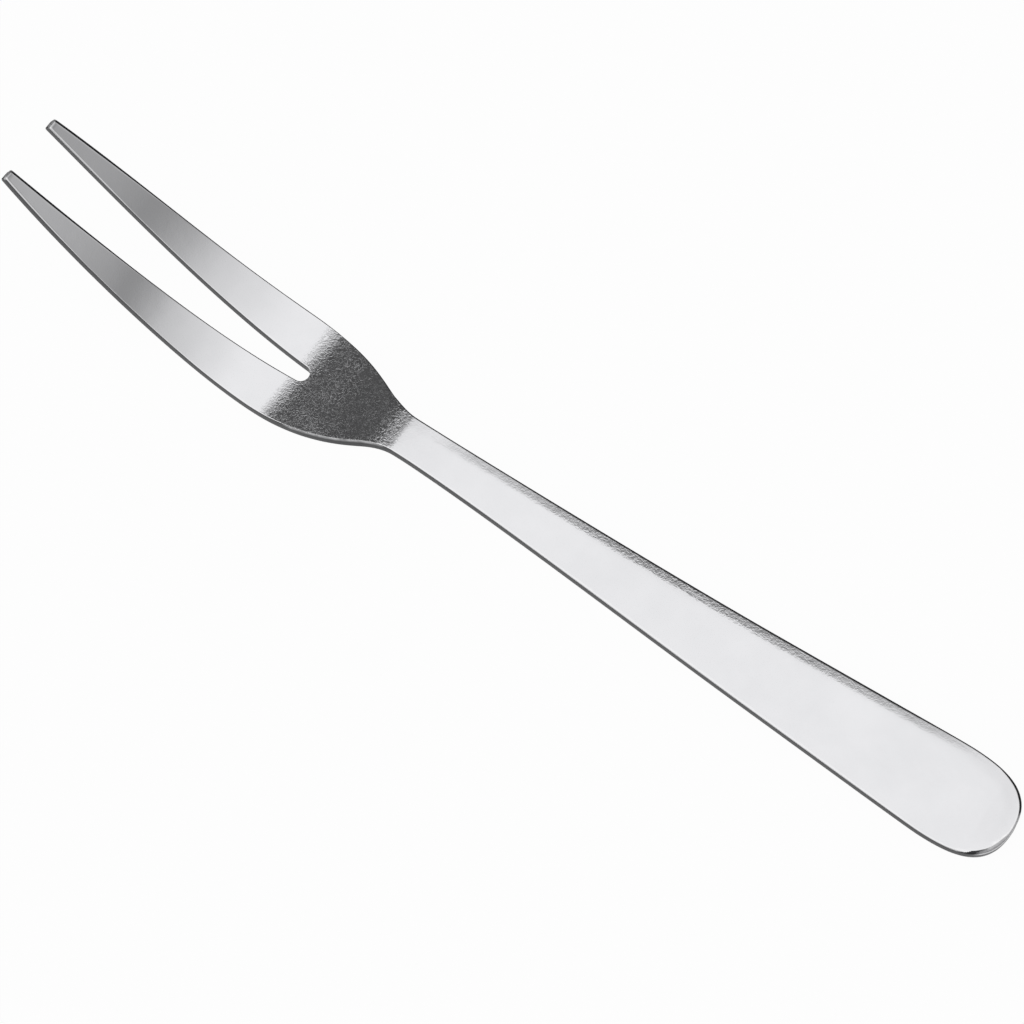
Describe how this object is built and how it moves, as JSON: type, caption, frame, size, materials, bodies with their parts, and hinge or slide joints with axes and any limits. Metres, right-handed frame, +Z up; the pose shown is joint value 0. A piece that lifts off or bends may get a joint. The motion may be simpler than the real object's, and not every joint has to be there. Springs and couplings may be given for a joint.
{
  "type": "snail fork",
  "caption": "Slender pressed steel snail fork with a round-ended tapering handle, a drawn-in neck and a forked head of long upswept tines for drawing snails from their shells.",
  "frame": {"origin": "middle of the length and of the width, on the surface that the fork rests on", "axes": "+X along the fork towards the tine tips, +Z up out of the hollow side, Y across the fork"},
  "size_m": [0.1502, 0.0152, 0.0177],
  "materials": {
    "stainless_steel": "bright tumbled stainless steel with fine wear marks and darker sheared edges"
  },
  "bodies": {
    "root": {"fork": "stainless_steel"}
  },
  "joints": []
}
